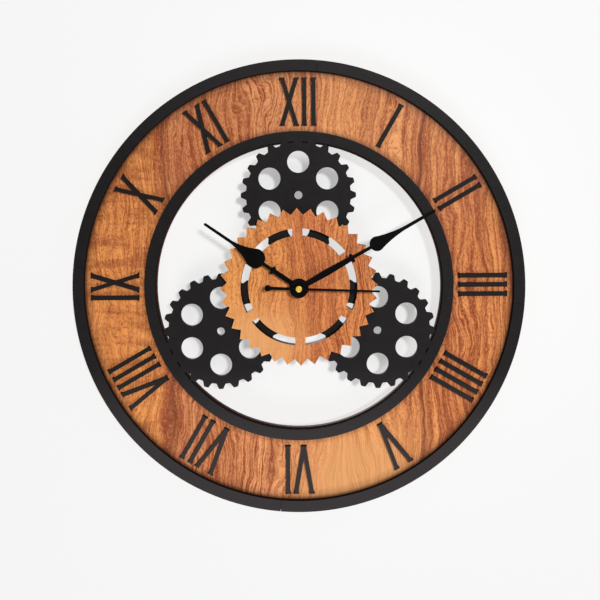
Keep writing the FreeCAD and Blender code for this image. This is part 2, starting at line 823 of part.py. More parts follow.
def make_quartz_crystal():
    """Small metal can lying on the rear of the circuit board."""
    depth = circuit_back - crystal_radius - part_seat
    places = [vec(circuit_middle + x, depth + y, crystal_height)
              for x, y in regular_points(crystal_radius, small_round_sides)]
    return Part.Face(Part.makePolygon(places + places[:1])).extrude(FreeCAD.Vector(0, 0, -crystal_length))


def make_driver_chip():
    """Blob of resin over the chip on the rear of the circuit board."""
    return prism(chip_radius, middle_round_sides, circuit_back - chip_thickness, circuit_back,
                 circuit_middle, chip_height)


def make_battery():
    """Round cell lying across the bottom of the case, its nub at the left."""
    along = FreeCAD.Vector(1, 0, 0)
    nub = Part.makeCylinder(cell_nub_radius, cell_nub_length, vec(cell_start, cell_depth, cell_z), along)
    shoulder = vec(cell_start + cell_nub_length, cell_depth, cell_z)
    can = Part.makeCylinder(cell_radius, cell_body_length, shoulder, along)
    return can.fuse(nub).removeSplitter()


def contact_leg(left, right, bottom, top):
    middle = (circuit_back + circuit_front_depth) / 2
    half = contact_leg_width / 2
    return block(left, right, bottom, top, middle - half, middle + half)


def make_contact_positive():
    """Flat plate at the nub, with a leg up to the edge of the circuit board."""
    left = -inner_side + contact_clearance
    right = left + contact_thickness
    half = contact_width / 2
    plate = block(left, right, cell_z - half, cell_z + half, cell_depth - half, cell_depth + half)
    leg = contact_leg(left, right, cell_z, -circuit_bottom + contact_leg_width)
    return plate.fuse(leg).removeSplitter()


def make_contact_negative():
    """Bowed spring at the flat end of the cell, with a strip along the bay to the board."""
    right = inner_side - contact_clearance
    left = right - contact_thickness
    apex = left - contact_spring_bow
    half = contact_width / 2
    flat = contact_spring_flat / 2
    bow = [(left, cell_z - half), (apex, cell_z - flat), (apex, cell_z + flat), (left, cell_z + half)]
    back_bow = [(x + contact_thickness, z) for x, z in reversed(bow)]
    spring = polygon(bow + back_bow, cell_depth - half, cell_depth + half)
    strip_bottom = bay_wall_top + contact_clearance
    strip_top = strip_bottom + contact_thickness
    leg = contact_leg(left, right, cell_z + half - contact_thickness, strip_top)
    strip = contact_leg(circuit_middle, right, strip_bottom, strip_top)
    return spring.multiFuse([leg, strip]).removeSplitter()


def make_threaded_bushing():
    """Brass tube through the front of the case, the gear and the nut."""
    bore = pipe_hole(hour_pipe_radius, front_inner, bushing_front)
    return rod(bushing_radius, front_inner, bushing_front).cut(bore)


def make_hex_nut():
    nut = flats_prism(nut_across_flats / 2, nut_sides, washer_front, nut_front)
    return nut.cut(flats_prism(bushing_radius + bushing_fit, middle_round_sides, washer_front, nut_front))


def arc(start, through, end):
    return Part.Arc(vec(start[0], 0.0, start[1]), vec(through[0], 0.0, through[1]),
                    vec(end[0], 0.0, end[1])).toShape()


def line(start, end):
    return Part.makeLine(vec(start[0], 0.0, start[1]), vec(end[0], 0.0, end[1]))


def spade_outline(hand):
    """Edges of a spade hand that points up, from its hub to its tip and back.

    The right side is a tapered bar, a chamfered collar, a neck, the round back of the bulb, a
    hollow shoulder and a long needle; the left side mirrors it.
    """
    collar_low = hand["collar_at"] - hand["collar_length"] / 2
    collar_high = hand["collar_at"] + hand["collar_length"] / 2
    bulb = hand["bulb_radius"]
    neck_meets = hand["bulb_at"] - math.sqrt(bulb ** 2 - hand["neck"] ** 2)
    shoulder_at = hand["bulb_at"] + math.sqrt(bulb ** 2 - hand["shoulder"] ** 2)
    side = [
        (hand["bar_start"], 0.0), (hand["bar_middle"], hand["bar_middle_at"]),
        (hand["bar_end"], collar_low), (hand["collar_half_width"], collar_low + collar_chamfer),
        (hand["collar_half_width"], collar_high - collar_chamfer), (hand["neck"], collar_high),
        (hand["neck"], neck_meets),
    ]
    tip_round = hand["length"] - hand["needle_end"]
    edges = []
    for sign in (1.0, -1.0):
        places = [(sign * x, z) for x, z in side]
        edges += [line(first, second) for first, second in zip(places, places[1:])]
        shoulder = (sign * hand["shoulder"], shoulder_at)
        needle = (sign * hand["needle"], hand["needle_at"])
        tip = (sign * hand["needle_end"], tip_round)
        edges.append(arc(places[-1], (sign * bulb, hand["bulb_at"]), shoulder))
        edges.append(arc(shoulder, (sign * hand["waist"], hand["waist_at"]), needle))
        edges.append(line(needle, tip))
    edges.append(arc((hand["needle_end"], tip_round), (0.0, hand["length"]),
                     (-hand["needle_end"], tip_round)))
    edges.append(line((-hand["bar_start"], 0.0), (hand["bar_start"], 0.0)))
    return Part.Wire(Part.__sortEdges__(edges))


def make_spade_hand(hand, pipe_radius, pipe_front, clock_angle):
    """Spade hand with a round hub and a collet behind it, pushed on its pipe."""
    front = pipe_front - pipe_end_proud
    back = front - hand_thickness
    blade = thicken(spade_outline(hand), back, front)
    hub = rod(hand_hub_radius, back, front)
    collet = prism(pipe_radius + collet_wall, middle_round_sides, back - collet_length, back)
    solid = blade.multiFuse([hub, collet])
    bore = flats_prism(pipe_radius + hand_fit, middle_round_sides, back - collet_length, front)
    return spin(solid.cut(bore).removeSplitter(), clock_angle)


def second_hand_depths():
    front = second_shaft_front - boss_height / 2
    return front - hand_thickness, front


def make_second_hand():
    """Straight needle with a slim tail that ends in a small disc."""
    back, front = second_hand_depths()
    half, tip_half, tail_half = second_hand_half_width, second_hand_tip_half_width, tail_half_width
    points = [
        (tail_half, -tail_distance), (half, 0.0), (tip_half, second_hand_length),
        (-tip_half, second_hand_length), (-half, 0.0), (-tail_half, -tail_distance),
    ]
    needle = polygon(points, back, front)
    eye = rod(second_hand_eye_radius, back, front)
    tail = rod(tail_radius, back, front, 0.0, -tail_distance)
    hole = flats_prism(boss_neck_radius + hand_fit, middle_round_sides, back, front)
    hand = needle.multiFuse([eye, tail]).cut(hole)
    return spin(hand.removeSplitter(), second_hand_clock_angle)


def make_second_boss():
    """Turned brass boss that grips the shaft and holds the second hand."""
    back, front = second_hand_depths()
    neck = prism(boss_neck_radius, middle_round_sides, back - boss_neck_length, front)
    head_front = front + boss_height
    head = rod(boss_radius, front, head_front - boss_chamfer)
    crown = Part.makeCone(boss_radius, boss_radius - boss_chamfer, boss_chamfer,
                          vec(0.0, head_front - boss_chamfer, 0.0), FreeCAD.Vector(0, -1, 0))
    bore = flats_prism(second_shaft_radius + hand_fit, small_round_sides,
                       back - boss_neck_length, second_shaft_front)
    return neck.multiFuse([head, crown]).cut(bore).removeSplitter()


def make_washer(radius, sides, back, front):
    return prism(radius, sides, back, front).cut(bushing_eye(back, front))


def build():
    os.makedirs("parts", exist_ok=True)
    save("dial_board", make_dial_board())
    for index, name in enumerate(rim_arc_names):
        save(name, make_rim_arc(index))
    save("gear_fretwork", make_gear_fretwork())
    for index, letters in enumerate(hour_numerals):
        save("numeral_" + str(index + 1), make_numeral(letters, index + 1))
    save("centre_gear", make_centre_gear())

    save("movement_case", make_movement_case())
    save("rear_cover", make_rear_cover())
    save("train_plate", make_train_plate())
    save("threaded_bushing", make_threaded_bushing())
    save("rubber_washer", make_washer(case_boss_radius, middle_round_sides, boss_front, sheet_front))
    save("brass_washer", make_washer(washer_radius, washer_sides, gear_front, washer_front))
    save("hex_nut", make_hex_nut())
    save("battery", make_battery())
    save("contact_positive", make_contact_positive())
    save("contact_negative", make_contact_negative())
    save("coil_bobbin", make_coil_bobbin())
    save("coil_winding", make_coil_winding())
    save("coil_core", make_coil_core())
    save("stator", make_stator())
    save("circuit_board", make_circuit_board())
    save("quartz_crystal", make_quartz_crystal())
    save("driver_chip", make_driver_chip())

    save("rotor", make_rotor())
    save("step_wheel", make_step_wheel())
    save("second_wheel", make_second_wheel())
    save("third_wheel", make_third_wheel())
    save("centre_wheel", make_centre_wheel())
    save("minute_arbor", make_minute_arbor())
    save("motion_wheel", make_motion_wheel())
    save("setting_knob", make_setting_knob())
    save("hour_wheel", make_hour_wheel())

    save("hour_hand", make_spade_hand(hour_hand, hour_pipe_radius, hour_pipe_front, hour_hand_clock_angle))
    save("minute_hand", make_spade_hand(minute_hand, minute_pipe_radius, minute_pipe_front,
                                        minute_hand_clock_angle))
    save("second_hand", make_second_hand())
    save("second_boss", make_second_boss())


build()
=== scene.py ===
import json
import math

import bmesh
import bpy
import numpy as np
from mathutils.geometry import tessellate_polygon
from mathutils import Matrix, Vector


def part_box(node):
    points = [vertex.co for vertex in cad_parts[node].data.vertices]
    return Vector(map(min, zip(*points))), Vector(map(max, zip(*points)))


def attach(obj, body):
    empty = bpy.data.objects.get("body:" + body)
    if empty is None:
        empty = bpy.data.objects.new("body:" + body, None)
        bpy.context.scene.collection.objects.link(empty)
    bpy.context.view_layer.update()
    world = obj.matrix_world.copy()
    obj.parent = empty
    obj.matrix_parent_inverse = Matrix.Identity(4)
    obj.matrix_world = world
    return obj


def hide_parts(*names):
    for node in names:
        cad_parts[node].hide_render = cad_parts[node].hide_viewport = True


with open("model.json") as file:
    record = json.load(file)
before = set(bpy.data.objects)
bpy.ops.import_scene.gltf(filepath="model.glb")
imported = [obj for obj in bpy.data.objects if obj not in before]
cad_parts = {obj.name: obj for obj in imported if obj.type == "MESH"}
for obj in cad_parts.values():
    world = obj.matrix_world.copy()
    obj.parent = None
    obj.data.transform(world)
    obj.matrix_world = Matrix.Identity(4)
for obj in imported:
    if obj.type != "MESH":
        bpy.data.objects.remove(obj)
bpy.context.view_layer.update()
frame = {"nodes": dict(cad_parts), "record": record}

MM = 0.001
PIXELS_PER_MM = 1.0065          # at the front of the black sheet
SHEET_FRONT = 19.5              # depth from the wall, mm

# Sizes that the round and rounded pieces share with the solids, mm
RING_OUTER, RING_INNER = 153.7, 143.3
SHEET_BACK = 16.5
GEAR_TEETH, GEAR_TIP, GEAR_ROOT, GEAR_DISTANCE = 24, 57.3, 52.2, 90.0
GEAR_TIP_WIDTH, GEAR_GAP_WIDTH = 4.4, 4.6
GEAR_HOLES, GEAR_HOLE, GEAR_HOLE_CIRCLE, GEAR_EYE = 6, 11.0, 33.2, 4.0


# ---------------------------------------------------------------- camera and light

def add_camera():
    """Level camera a little above the clock's middle, 450 mm from the black sheet.

    The picture is shifted down in place of a tilt, and the camera is rolled by a third of a degree.
    """
    distance = 450.0
    picture_mm = 600 / PIXELS_PER_MM
    data = bpy.data.cameras.new("camera")
    data.sensor_width = 36.0
    data.lens = data.sensor_width * distance / picture_mm
    data.shift_y = -102.9 / 600
    data.clip_end = 50.0
    camera = bpy.data.objects.new("camera", data)
    bpy.context.scene.collection.objects.link(camera)
    camera.location = (1.6 * MM, -(distance + SHEET_FRONT) * MM, 88.0 * MM)
    camera.rotation_euler = (math.pi / 2, math.radians(0.35), 0.0)
    bpy.context.scene.camera = camera


def add_lamp(name, place, side, power):
    """Square softbox that faces the middle of the clock."""
    data = bpy.data.lights.new(name, "AREA")
    data.shape = "SQUARE"
    data.size = side
    data.energy = power
    lamp = bpy.data.objects.new(name, data)
    bpy.context.scene.collection.objects.link(lamp)
    lamp.location = place
    x, y, z = place
    flat = math.hypot(x, y)
    lamp.rotation_euler = (math.pi / 2 - math.atan2(z, flat), 0.0, math.atan2(x, -y))


# ---------------------------------------------------------------- node helpers

def linear(code):
    """sRGB hex such as #8A4A2A as a linear colour with full opacity."""
    parts = [int(code[place:place + 2], 16) / 255 for place in (1, 3, 5)]
    return [p / 12.92 if p <= 0.04045 else ((p + 0.055) / 1.055) ** 2.4 for p in parts] + [1.0]


def add(tree, kind, settings=None):
    """Add a node with its settings and links.

    A setting is a socket's name or number, a property, or the stops of a ramp, and a socket given as
    the value is linked. A property that changes the sockets comes before them.
    """
    node = tree.nodes.new(kind)
    for name, value in (settings or {}).items():
        if name == "stops":
            elements = node.color_ramp.elements
            while len(elements) < len(value):
                elements.new(0.5)
            for element, (place, tone) in zip(elements, value):
                element.position = place
                element.color = linear(tone) if isinstance(tone, str) else (tone, tone, tone, 1.0)
        elif isinstance(value, bpy.types.NodeSocket):
            tree.links.new(value, node.inputs[name])
        elif isinstance(name, int) or name in node.inputs:
            node.inputs[name].default_value = value
        else:
            setattr(node, name, value)
    return node


def new_finish(name, settings):
    """Empty material with a Principled surface; gives the material, its nodes and the object's place."""
    material = bpy.data.materials.new(name)
    material.use_nodes = True
    tree = material.node_tree
    tree.nodes.clear()
    surface = add(tree, "ShaderNodeBsdfPrincipled", settings)
    add(tree, "ShaderNodeOutputMaterial", {"Surface": surface.outputs[0]})
    place = add(tree, "ShaderNodeTexCoord").outputs["Object"]
    return material, tree, surface, place


def grain_noise(tree, place, size, detail=2.0, roughness=0.5):
    """Noise whose lumps are about size mm along each axis, given as (x, y, z)."""
    scale = [1000.0 / length for length in size]
    mapped = add(tree, "ShaderNodeMapping", {"Scale": scale, "Vector": place})
    return add(tree, "ShaderNodeTexNoise", {"Scale": 1.0, "Detail": detail, "Roughness": roughness,
                                            "Vector": mapped.outputs[0]})


def looked_at(tree):
    """1 for what the camera sees, also mirrored or through glass, and 0 for light on its way to the clock."""
    path = add(tree, "ShaderNodeLightPath")
    seen = path.outputs["Is Camera Ray"]
    for ray in ("Is Glossy Ray", "Is Transmission Ray"):
        seen = add(tree, "ShaderNodeMath", {"operation": "MAXIMUM", 0: seen, 1: path.outputs[ray]}).outputs[0]
    return seen


def tone_and_tooth(tree, surface, place, tones, size, depth, rough):
    """Colour that drifts between two tones over a few sizes, a fine tooth, and uneven gloss.

    Gives the colour, for finishes that lay more over it.
    """
    drift = grain_noise(tree, place, [side * 6 for side in size], 3.0).outputs[0]
    colour = add(tree, "ShaderNodeValToRGB", {"stops": [(0.3, tones[0]), (0.7, tones[1])], "Fac": drift}).outputs[0]
    tree.links.new(colour, surface.inputs["Base Color"])
    tooth = grain_noise(tree, place, size, 3.0, 0.6).outputs[0]
    bump = add(tree, "ShaderNodeBump", {"Strength": 0.5, "Distance": depth * MM, "Height": tooth})
    tree.links.new(bump.outputs[0], surface.inputs["Normal"])
    gloss = add(tree, "ShaderNodeValToRGB", {"stops": [(0.3, rough[0]), (0.7, rough[1])], "Fac": tooth})
    tree.links.new(gloss.outputs[0], surface.inputs["Roughness"])
    return colour


# ---------------------------------------------------------------- wood

def printed_veneer(name, tones, streak_share, mottle_share, veins, scorch_and_shade_rings, shift, calm):
    """Satin veneer on fibreboard with upright grain, laser cut, so its edges are scorched brown.

    The eye gets slow upright bands of gold and red brown, wavy streaks a few mm wide, short dark
    pores, cross-lying shimmer on the pale boards, and a dark line along each cut, partly scorch and partly painted
    shade.
    tones is the ramp of board colours from left to right over 450 mm, and the two shares are ramps
    over the same width, as is veins, which is 1 where a thin dark vein runs up the board.
    scorch_and_shade_rings is a ramp of darkening over the radius, from 0 to 250 mm: scorch, and painted shade where
    the wood meets the black ring and rim.
    calm is the place and size in mm of a pale patch with little figure. Painted light from below also
    makes the wood a third paler from the top of the clock down to its foot.
    """
    material, tree, surface, place = new_finish(name, {"Specular IOR Level": 0.12})
    moved = add(tree, "ShaderNodeVectorMath", {"operation": "ADD", 0: place, 1: shift}).outputs[0]

    # The grain sways sideways slowly, curls at some places, and ripples over a few mm
    swayed = moved
    for size, reach in (((80.0, 80.0, 140.0), 0.022), ((24.0, 24.0, 40.0), 0.0070), ((6.0, 6.0, 14.0), 0.0020)):
        sway = grain_noise(tree, moved, size, 1.0).outputs["Color"]
        centred = add(tree, "ShaderNodeVectorMath", {"operation": "SUBTRACT", 0: sway, 1: (0.5, 0.5, 0.5)})
        push = add(tree, "ShaderNodeVectorMath",
                   {"operation": "MULTIPLY", 0: centred.outputs[0], 1: (reach * 2, 0.0, 0.0)})
        swayed = add(tree, "ShaderNodeVectorMath", {"operation": "ADD", 0: swayed, 1: push.outputs[0]}).outputs[0]

    # Board colours over the width, and painted light from below that makes the wood brighter downwards
    home = add(tree, "ShaderNodeVectorMath", {"operation": "SUBTRACT", 0: swayed, 1: shift}).outputs[0]
    across = add(tree, "ShaderNodeSeparateXYZ", {"Vector": home})
    width = add(tree, "ShaderNodeMapRange",
                {"From Min": -0.225, "From Max": 0.225, "Value": across.outputs["X"]}).outputs[0]
    boards = add(tree, "ShaderNodeValToRGB", {"stops": tones, "Fac": width}).outputs[0]
    # light from below painted into the colour: 0.95 times at the top of the clock, 1.30 times at its foot
    painted_light_from_below = add(tree, "ShaderNodeMapRange", {"From Min": -0.2, "From Max": 0.2, "To Min": 1.30, "To Max": 0.95,
                                                 "Value": across.outputs["Z"]}).outputs[0]
    colour = add(tree, "ShaderNodeVectorMath", {"operation": "SCALE", 0: boards, "Scale": painted_light_from_below}).outputs[0]

    # The calm patch, full in its middle, and how lively the figure is, which is least there
    near = add(tree, "ShaderNodeMapping", {"Scale": [1000.0 / calm[2], 0.0, 1000.0 / calm[3]],
                                           "Location": [-calm[0] / calm[2], 0.0, -calm[1] / calm[3]],
                                           "Vector": place})
    glow = add(tree, "ShaderNodeTexGradient", {"gradient_type": "QUADRATIC_SPHERE", "Vector": near.outputs[0]})
    calmness = add(tree, "ShaderNodeValToRGB", {"stops": [(0.0, 0.0), (0.45, 1.0)], "Fac": glow.outputs[0]}).outputs[0]
    lively = add(tree, "ShaderNodeValToRGB", {"stops": [(0.0, 1.0), (1.0, 0.15)], "Fac": calmness}).outputs[0]
    streaky = add(tree, "ShaderNodeValToRGB", {"stops": streak_share, "Fac": width}).outputs[0]
    streaky = add(tree, "ShaderNodeMath", {"operation": "MULTIPLY", 0: streaky, 1: lively}).outputs[0]

    # Broad streaks, dark red where the noise is low and pale where it is high
    broad = grain_noise(tree, swayed, (7.0, 7.0, 150.0), 3.0, 0.55).outputs[0]
    dark_streak = add(tree, "ShaderNodeValToRGB", {"stops": [(0.36, 1.0), (0.50, 0.0)], "Fac": broad}).outputs[0]
    pale_streak = add(tree, "ShaderNodeValToRGB", {"stops": [(0.54, 0.0), (0.70, 1.0)], "Fac": broad}).outputs[0]

    # Growth rings 8 mm apart, cut lengthwise, so they show as nested curves where the board is lively
    ring_place = add(tree, "ShaderNodeMapping", {"Scale": (1000.0, 1000.0, 1000.0), "Vector": swayed})
    rings = add(tree, "ShaderNodeTexWave", {"Scale": 0.04, "Distortion": 5.0, "Detail": 2.0, "Detail Scale": 0.5,
                                            "Detail Roughness": 0.5, "Vector": ring_place.outputs[0]})
    ring_line = add(tree, "ShaderNodeValToRGB",
                    {"stops": [(0.0, 1.0), (0.30, 0.0)], "Fac": rings.outputs["Fac"]}).outputs[0]

    # Grain lines 1.2 mm apart, which is as fine as shows, bunched where the slow noise is high
    lines = grain_noise(tree, swayed, (1.2, 1.2, 60.0), 2.0, 0.65).outputs[0]
    grain_line = add(tree, "ShaderNodeValToRGB", {"stops": [(0.38, 1.0), (0.53, 0.0)], "Fac": lines}).outputs[0]
    slow = grain_noise(tree, moved, (28.0, 28.0, 60.0), 2.0).outputs[0]
    bunched = add(tree, "ShaderNodeValToRGB", {"stops": [(0.38, 0.45), (0.60, 1.0)], "Fac": slow}).outputs[0]
    lined = add(tree, "ShaderNodeValToRGB",
                {"stops": [(0.0, 0.15), (0.3, 0.65), (0.6, 1.0)], "Fac": streaky}).outputs[0]

    # Pores are 0.2 mm wide in real wood, and drawn 1 mm wide to show
    pores = grain_noise(tree, swayed, (0.9, 0.9, 2.6), 1.0).outputs[0]
    pore = add(tree, "ShaderNodeValToRGB", {"stops": [(0.54, 0.0), (0.66, 1.0)], "Fac": pores}).outputs[0]
    glint = add(tree, "ShaderNodeValToRGB", {"stops": [(0.32, 1.0), (0.44, 0.0)], "Fac": pores}).outputs[0]

    # Thin dark veins, and smoky shimmer lying across the grain, about 15 mm from band to band
    vein = add(tree, "ShaderNodeValToRGB", {"stops": veins, "Fac": width}).outputs[0]
    cross = grain_noise(tree, swayed, (45.0, 45.0, 11.0), 3.0, 0.6).outputs[0]
    shimmer = add(tree, "ShaderNodeValToRGB", {"stops": [(0.46, 0.0), (0.60, 1.0)], "Fac": cross}).outputs[0]
    mottled = add(tree, "ShaderNodeValToRGB", {"stops": mottle_share, "Fac": width}).outputs[0]

    # Scorch, and painted shade from the black ring and rim, along the cuts, by distance from the axis
    flat = add(tree, "ShaderNodeVectorMath", {"operation": "MULTIPLY", 0: place, 1: (4.0, 0.0, 4.0)}).outputs[0]
    radius = add(tree, "ShaderNodeVectorMath", {"operation": "LENGTH", 0: flat}).outputs["Value"]
    scorch_and_shade = add(tree, "ShaderNodeValToRGB", {"stops": scorch_and_shade_rings, "Fac": radius}).outputs[0]

    # Cut walls are scorched almost black, and the rear shows bare fibreboard
    normal = add(tree, "ShaderNodeNewGeometry").outputs["Normal"]
    facing = add(tree, "ShaderNodeSeparateXYZ", {"Vector": normal}).outputs["Y"]
    wall = add(tree, "ShaderNodeMapRange", {"From Min": -0.85, "From Max": -0.6, "Value": facing}).outputs[0]
    rear = add(tree, "ShaderNodeMapRange", {"From Min": 0.6, "From Max": 0.85, "Value": facing}).outputs[0]
    fibres = grain_noise(tree, place, (2.5, 2.5, 2.5), 5.0, 0.7).outputs[0]
    bare = add(tree, "ShaderNodeValToRGB", {"stops": [(0.3, "#86623F"), (0.7, "#A9835A")], "Fac": fibres}).outputs[0]

    # Each layer is laid over the last, as much as the product of its shares
    layers = [
        ((calmness, 0.85), linear("#DFA067")),
        ((dark_streak, streaky, 0.8), linear("#8C4428")),
        ((pale_streak, streaky, 0.55), linear("#F0A868")),
        ((shimmer, mottled, 0.7), linear("#96522C")),
        ((ring_line, streaky, 0.72), linear("#8A4022")),
        ((lined, grain_line, bunched), linear("#8E4223")),
        ((pore, lively, 0.5), linear("#7A3A1E")),
        ((glint, lively, 0.3), linear("#F2A866")),
        ((vein, 0.75), linear("#5A2A1C")),
        # scorch, and painted shade next to the black ring and rim
        ((scorch_and_shade,), linear("#2A110A")),
        ((wall,), linear("#22130D")),
        ((rear,), bare),
    ]
    for shares, tone in layers:
        amount = shares[0]
        for share in shares[1:]:
            amount = add(tree, "ShaderNodeMath", {"operation": "MULTIPLY", 0: amount, 1: share}).outputs[0]
        colour = add(tree, "ShaderNodeMix", {"data_type": "RGBA", 0: amount, 6: colour, 7: tone}).outputs[2]
    tree.links.new(colour, surface.inputs["Base Color"])

    relief = add(tree, "ShaderNodeMix", {"data_type": "RGBA", 0: 0.5, 6: pore, 7: grain_line}).outputs[2]
    bump = add(tree, "ShaderNodeBump", {"Strength": 0.25, "Distance": 0.15 * MM, "invert": True, "Height": relief})
    tree.links.new(bump.outputs[0], surface.inputs["Normal"])
    gloss = add(tree, "ShaderNodeValToRGB", {"stops": [(0.3, 0.60), (0.7, 0.44)], "Fac": lines})
    tree.links.new(gloss.outputs[0], surface.inputs["Roughness"])
    return material


def lacquered_fibreboard():
    """Matte black sprayed fibreboard, laser cut.

    The eye gets charcoal with a faint orange peel, a painted sheen that makes it paler towards the foot
    of the clock and a little at its top, and cut walls a shade darker than the faces.
    """
    material, tree, surface, place = new_finish("lacquered_fibreboard", {"Specular IOR Level": 0.10})
    colour = tone_and_tooth(tree, surface, place, ("#0F0D0D", "#151213"), (1.6, 1.6, 1.6), 0.05, (0.54, 0.66))
    height = add(tree, "ShaderNodeSeparateXYZ", {"Vector": place}).outputs["Z"]
    up = add(tree, "ShaderNodeMapRange", {"From Min": -0.225, "From Max": 0.225, "Value": height}).outputs[0]
    # painted sheen: paler towards the foot of the clock and a little at its very top
    painted_sheen_foot = add(tree, "ShaderNodeValToRGB", {"stops": [(0.02, 0.85), (0.17, 0.85), (0.32, 0.10), (0.60, 0.0),
                                                      (0.80, 0.0), (0.97, 0.20)], "Fac": up}).outputs[0]
    normal = add(tree, "ShaderNodeNewGeometry").outputs["Normal"]
    facing = add(tree, "ShaderNodeSeparateXYZ", {"Vector": normal}).outputs["Y"]
    wall = add(tree, "ShaderNodeMapRange", {"From Min": -0.9, "From Max": -0.5, "Value": facing}).outputs[0]
    for share, tone in ((painted_sheen_foot, "#353132"), (wall, "#141010")):
        colour = add(tree, "ShaderNodeMix", {"data_type": "RGBA", 0: share, 6: colour, 7: linear(tone)}).outputs[2]
    tree.links.new(colour, surface.inputs["Base Color"])
    return material


# ---------------------------------------------------------------- plastic and metal

def spark_textured_abs():
    """Injection moulded ABS from a spark-eroded mould: an even fine grain that kills the gloss."""
    material, tree, surface, place = new_finish("spark_textured_abs", {"IOR": 1.53, "Specular IOR Level": 0.4})
    tone_and_tooth(tree, surface, place, ("#1B1B1D", "#232325"), (0.5, 0.5, 0.5), 0.08, (0.46, 0.62))
    return material


def moulded_acetal():
    """Natural acetal, moulded: milky white, waxy, with faint flow clouds."""
    material, tree, surface, place = new_finish("moulded_acetal", {"IOR": 1.48, "Subsurface Weight": 0.15,
                                                                   "Subsurface Scale": 0.002})
    tone_and_tooth(tree, surface, place, ("#E4E1D6", "#F0EEE6"), (1.0, 1.0, 1.0), 0.01, (0.30, 0.42))
    return material


def stamped_steel():
    """Soft magnet steel, stamped and annealed: blue grey with rolling lines along X."""
    material, tree, surface, place = new_finish("stamped_steel", {"Metallic": 1.0})
    tone_and_tooth(tree, surface, place, ("#7E8084", "#95979B"), (9.0, 0.4, 0.4), 0.01, (0.36, 0.50))
    return material


def enamelled_wire():
    """Fine copper wire under clear red enamel; the turns are in the mesh, the tone drifts between them."""
    material, tree, surface, place = new_finish("enamelled_wire", {"Metallic": 1.0, "Coat Weight": 0.6,
                                                                   "Coat Roughness": 0.12})
    tone_and_tooth(tree, surface, place, ("#B0603A", "#C97B4C"), (0.5, 3.0, 3.0), 0.01, (0.28, 0.40))
    return material


def circuit_laminate():
    """Glass cloth laminate under green solder resist: weave 0.6 mm apart and raised tracks 1.5 mm apart."""
    material, tree, surface, place = new_finish("circuit_laminate", {"IOR": 1.55, "Coat Weight": 0.5,
                                                                     "Coat Roughness": 0.2})
    mapped = add(tree, "ShaderNodeMapping", {"Scale": (667.0, 667.0, 667.0), "Vector": place})
    tracks = add(tree, "ShaderNodeTexBrick", {"Color1": linear("#1E5B36"), "Color2": linear("#17492B"),
                                              "Mortar": linear("#3B8A58"), "Scale": 1.0, "Mortar Size": 0.16,
                                              "Vector": mapped.outputs[0]})
    tree.links.new(tracks.outputs["Color"], surface.inputs["Base Color"])
    weave = grain_noise(tree, place, (0.6, 0.6, 0.6), 1.0).outputs[0]
    bump = add(tree, "ShaderNodeBump", {"Strength": 0.3, "Distance": 0.05 * MM, "Height": weave})
    tree.links.new(bump.outputs[0], surface.inputs["Normal"])
    gloss = add(tree, "ShaderNodeValToRGB", {"stops": [(0.3, 0.30), (0.7, 0.42)], "Fac": weave})
    tree.links.new(gloss.outputs[0], surface.inputs["Roughness"])
    return material


def tinned_can():
    """Drawn and tin plated can of the crystal: bright grey, drawn lines along Z."""
    material, tree, surface, place = new_finish("tinned_can", {"Metallic": 1.0})
    tone_and_tooth(tree, surface, place, ("#BFC1C4", "#D2D4D6"), (0.3, 0.3, 5.0), 0.01, (0.20, 0.32))
    return material


def nickel_spring_steel():
    """Nickel plated spring steel: warm grey, soft rolling lines."""
    material, tree, surface, place = new_finish("nickel_spring_steel", {"Metallic": 1.0})
    tone_and_tooth(tree, surface, place, ("#B9B6AE", "#CFCCC4"), (6.0, 0.5, 0.5), 0.01, (0.24, 0.36))
    return material


def cell_jacket():
    """Plain slate film shrunk on a zinc cell, its ends bare plated steel."""
    material, tree, surface, place = new_finish("cell_jacket", {"Coat Weight": 0.4, "Coat Roughness": 0.15})
    film = tone_and_tooth(tree, surface, place, ("#39424D", "#434D59"), (3.0, 3.0, 3.0), 0.02, (0.34, 0.44))
    low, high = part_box("battery")
    length = high.x - low.x
    along = add(tree, "ShaderNodeSeparateXYZ", {"Vector": place}).outputs["X"]
    share = add(tree, "ShaderNodeMapRange", {"From Min": low.x, "From Max": high.x, "Value": along}).outputs[0]
    nub, rim = 2.4 * MM / length, 0.9 * MM / length
    bare = add(tree, "ShaderNodeValToRGB", {"stops": [(nub, 1.0), (nub + 0.004, 0.0), (1 - rim - 0.004, 0.0),
                                                      (1 - rim, 1.0)], "Fac": share}).outputs[0]
    colour = add(tree, "ShaderNodeMix", {"data_type": "RGBA", 0: bare, 6: film, 7: linear("#C8C8C6")}).outputs[2]
    tree.links.new(colour, surface.inputs["Base Color"])
    tree.links.new(bare, surface.inputs["Metallic"])
    return material


def turned_brass():
    """Brass turned on a lathe: yellow, with tool rings 0.4 mm apart round the axis of the hands."""
    material, tree, surface, place = new_finish("turned_brass", {"Metallic": 1.0})
    tone_and_tooth(tree, surface, place, ("#D2A636", "#E8C24C"), (1.2, 1.2, 1.2), 0.01, (0.20, 0.30))
    mapped = add(tree, "ShaderNodeMapping", {"Scale": (2500.0, 0.0, 2500.0), "Vector": place})
    rings = add(tree, "ShaderNodeTexWave", {"wave_type": "RINGS", "rings_direction": "SPHERICAL", "Scale": 0.16,
                                            "Distortion": 0.3, "Vector": mapped.outputs[0]})
    bump = add(tree, "ShaderNodeBump", {"Strength": 0.2, "Distance": 0.02 * MM, "Height": rings.outputs["Fac"]})
    tree.links.new(bump.outputs[0], surface.inputs["Normal"])
    return material


def moulded_rubber():
    """Black nitrile rubber, moulded: dull, with a bloom of paler grey."""
    material, tree, surface, place = new_finish("moulded_rubber", {"Specular IOR Level": 0.3})
    tone_and_tooth(tree, surface, place, ("#161616", "#242424"), (0.8, 0.8, 0.8), 0.03, (0.72, 0.86))
    return material


